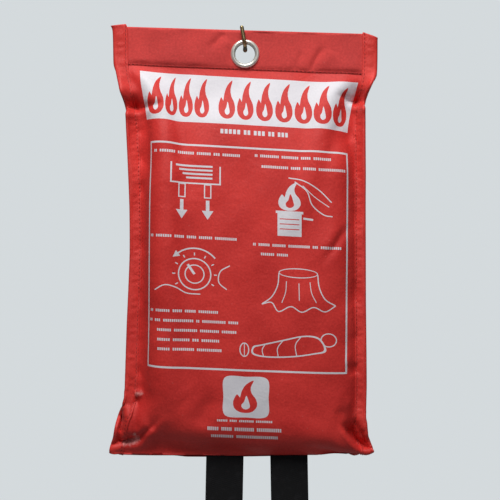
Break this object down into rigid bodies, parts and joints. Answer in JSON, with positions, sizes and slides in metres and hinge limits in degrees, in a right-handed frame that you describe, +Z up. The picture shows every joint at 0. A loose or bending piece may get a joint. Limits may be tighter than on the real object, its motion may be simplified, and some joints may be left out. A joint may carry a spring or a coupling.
{
  "type": "fire blanket and hook",
  "caption": "Red coated-cloth pouch filled by a folded fire blanket, hung by a heading eyelet on a screw hook, with bound side edges and black webbing pull tabs at the hem.",
  "frame": {"origin": "where the axis of the hook's shank enters the wall's face", "axes": "+X to the right seen from the front, +Y into the wall, +Z up; the front faces -Y"},
  "size_m": [0.1754, 0.0415, 0.3537],
  "materials": {
    "coated_cloth": "soft-sheen coated cloth",
    "binding_tape": "soft-sheen folded tape",
    "nickel": "nickel plated",
    "hook_brass": "dull antique",
    "webbing": "woven black webbing"
  },
  "bodies": {
    "root": {"pouch": "coated_cloth", "heading": "coated_cloth", "binding_left": "binding_tape", "binding_right": "binding_tape", "eyelet": "nickel", "eyelet_washer": "nickel", "hook": "hook_brass", "pull_tab_left": "webbing", "pull_tab_right": "webbing"}
  },
  "joints": []
}
